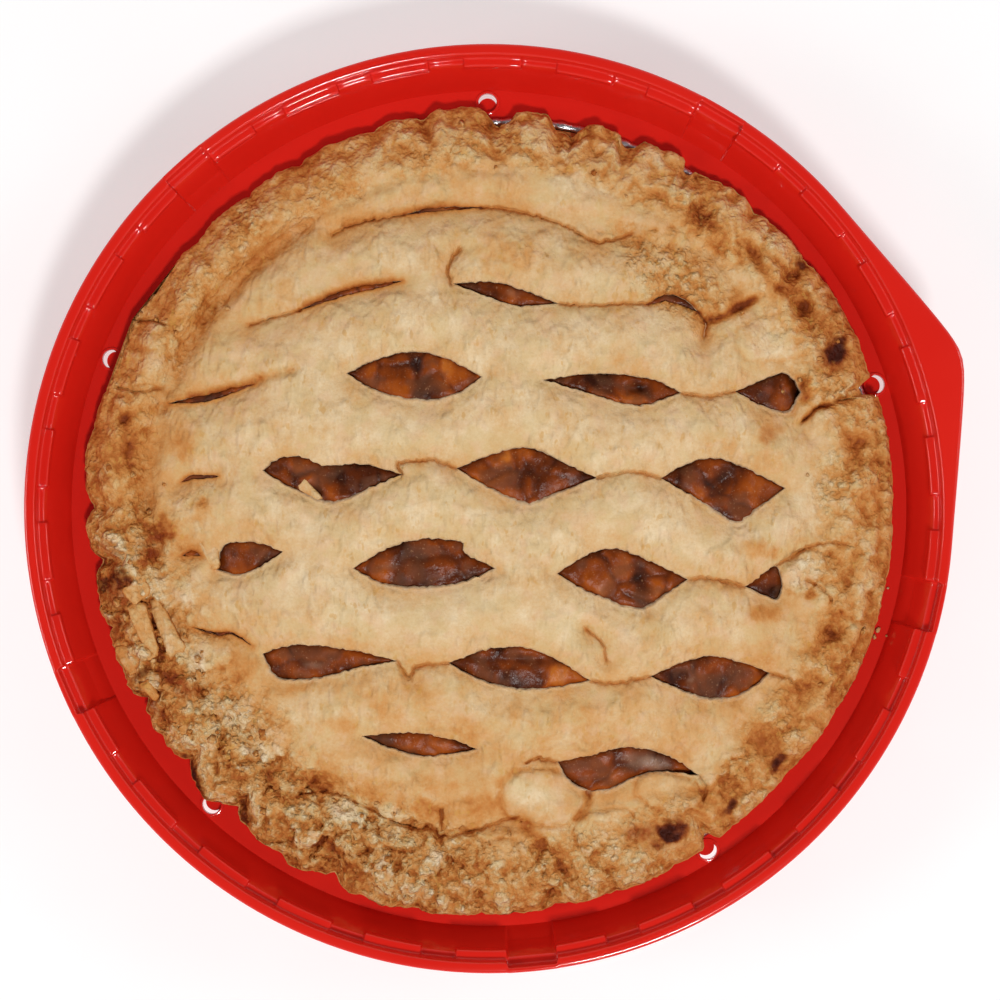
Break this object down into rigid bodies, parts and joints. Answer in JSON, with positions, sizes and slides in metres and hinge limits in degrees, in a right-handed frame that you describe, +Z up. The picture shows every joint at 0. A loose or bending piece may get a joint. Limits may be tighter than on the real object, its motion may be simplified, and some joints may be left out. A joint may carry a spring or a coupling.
{
  "type": "apple pie in a carrier tray",
  "caption": "Whole baked apple pie with a slit openwork lid and crimped edge, in its foil tin, standing in a round red plastic carrier tray with a grip tab.",
  "frame": {"origin": "centre of the tray's flat underside, where it rests on the table", "axes": "+Z up through the middle of the pie; +X to the right of the slit rows, which run along X; the grip tab is 18 degrees from +X towards +Y"},
  "size_m": [0.288, 0.2838, 0.0553],
  "materials": {
    "red_plastic": "glossy moulded plastic",
    "tin_foil": "crinkled bright foil",
    "baked_pastry": "dry baked pastry, cream to golden brown",
    "apple_filling": "wet, glossy cooked apple in dark syrup"
  },
  "bodies": {
    "root": {"tray": "red_plastic", "foil_tin": "tin_foil", "crust": "baked_pastry", "filling": "apple_filling"}
  },
  "joints": []
}
